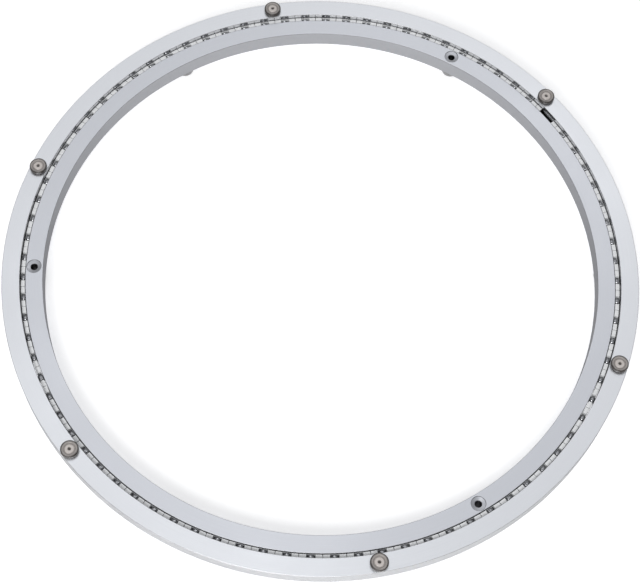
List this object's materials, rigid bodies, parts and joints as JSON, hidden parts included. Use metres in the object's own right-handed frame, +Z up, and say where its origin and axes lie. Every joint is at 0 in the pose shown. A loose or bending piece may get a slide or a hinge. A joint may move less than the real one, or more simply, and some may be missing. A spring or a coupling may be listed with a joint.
{
  "type": "lazy susan turntable bearing",
  "caption": "Flat ring turntable bearing: an outer aluminium ring with rubber pads turns on caged steel balls around a fixed inner ring with screw holes and rubber feet.",
  "frame": {"origin": "on the surface that the feet stand on, on the axis of the rings", "axes": "+Z up along the axis that the outer ring turns about; +X and +Y lie in the plane of the rings, and +X points to the right as seen from the front"},
  "size_m": [0.4, 0.4, 0.0216],
  "materials": {
    "outer_ring": "satin anodised, pale silver",
    "inner_ring": "satin anodised, slightly greyer silver",
    "cage": "white moulded nylon",
    "balls": "polished bearing steel",
    "pads": "translucent warm grey rubber",
    "feet": "grey rubber"
  },
  "bodies": {
    "base": {"inner_ring": "inner_ring", "foot_1": "feet", "foot_2": "feet", "foot_3": "feet", "foot_4": "feet", "foot_5": "feet", "foot_6": "feet"},
    "turntable": {"outer_ring": "outer_ring", "top_pad_1": "pads", "top_pad_2": "pads", "top_pad_3": "pads", "top_pad_4": "pads", "top_pad_5": "pads", "top_pad_6": "pads"},
    "cage": {"ball_cage": "cage", "ball_01": "balls", "ball_03": "balls", "ball_05": "balls", "ball_07": "balls", "ball_09": "balls", "ball_11": "balls", "ball_13": "balls", "ball_15": "balls", "ball_17": "balls", "ball_19": "balls", "ball_21": "balls", "ball_23": "balls", "ball_25": "balls", "ball_27": "balls", "ball_29": "balls", "ball_31": "balls", "ball_33": "balls", "ball_35": "balls", "ball_37": "balls", "ball_39": "balls", "ball_41": "balls", "ball_43": "balls", "ball_45": "balls", "ball_47": "balls", "ball_49": "balls", "ball_51": "balls", "ball_53": "balls", "ball_55": "balls", "ball_57": "balls", "ball_59": "balls", "ball_61": "balls", "ball_63": "balls", "ball_65": "balls", "ball_67": "balls", "ball_69": "balls", "ball_71": "balls", "ball_73": "balls", "ball_75": "balls", "ball_77": "balls", "ball_79": "balls", "ball_81": "balls", "ball_83": "balls"}
  },
  "joints": [
    {"name": "turntable_spin", "type": "hinge", "parent": "base", "child": "turntable", "pos_m": [0, 0, 0.0122], "axis": [0, 0, 1], "continuous": true},
    {"name": "cage_spin", "type": "hinge", "parent": "base", "child": "cage", "pos_m": [0, 0, 0.0122], "axis": [0, 0, 1], "continuous": true}
  ],
  "couplings": [
    {"joint": "cage_spin", "follows": "turntable_spin", "ratio": 0.5067}
  ]
}
